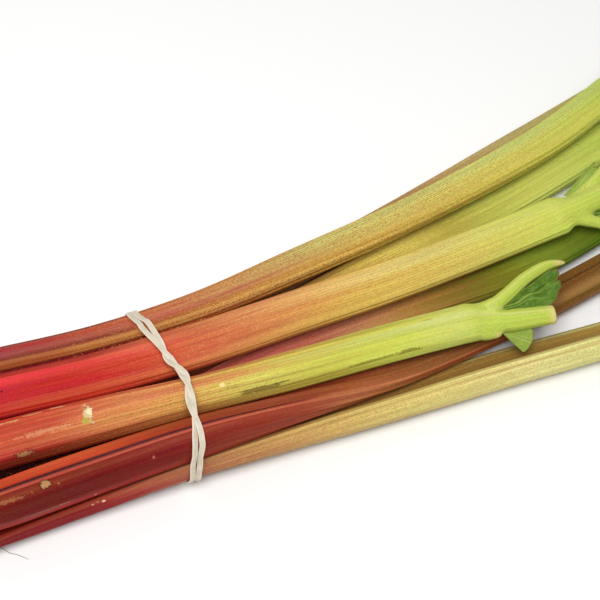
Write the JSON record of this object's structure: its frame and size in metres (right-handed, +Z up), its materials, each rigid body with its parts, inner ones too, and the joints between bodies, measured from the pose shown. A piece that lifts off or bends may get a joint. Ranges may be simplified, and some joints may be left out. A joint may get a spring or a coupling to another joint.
{
  "type": "bunch of rhubarb stalks",
  "caption": "Bunch of pulled rhubarb stalks lying down, ribbed and channelled, from flared red heels to forked green leaf ends, held by a twisted rubber band.",
  "frame": {"origin": "bottom centre of the bunch's bounding box, on the surface that it lies on", "axes": "+X along the bunch from the pulled heels to the trimmed leaf ends, +Y across it, +Z up"},
  "size_m": [0.5381, 0.2249, 0.0474],
  "materials": {
    "stalk_rear_low_skin": "semi-gloss plant skin with fine lengthwise ribs and red flecks",
    "stalk_rear_top_skin": "semi-gloss plant skin with fine lengthwise ribs and red flecks",
    "stalk_rear_inner_skin": "semi-gloss plant skin with fine lengthwise ribs and red flecks",
    "stalk_broad_red_skin": "semi-gloss plant skin with fine lengthwise ribs and red flecks",
    "stalk_middle_low_skin": "semi-gloss plant skin with fine lengthwise ribs and red flecks",
    "stalk_leafy_top_skin": "semi-gloss plant skin with fine lengthwise ribs and red flecks",
    "stalk_front_top_skin": "semi-gloss plant skin with fine lengthwise ribs and red flecks",
    "stalk_front_low_skin": "semi-gloss plant skin with fine lengthwise ribs and red flecks",
    "band_rubber": "matte cream natural rubber"
  },
  "bodies": {
    "root": {"stalk_rear_low": "stalk_rear_low_skin", "stalk_rear_top": "stalk_rear_top_skin", "stalk_rear_inner": "stalk_rear_inner_skin", "stalk_broad_red": "stalk_broad_red_skin", "stalk_middle_low": "stalk_middle_low_skin", "stalk_leafy_top": "stalk_leafy_top_skin", "stalk_front_top": "stalk_front_top_skin", "stalk_front_low": "stalk_front_low_skin", "rubber_band": "band_rubber"}
  },
  "joints": []
}
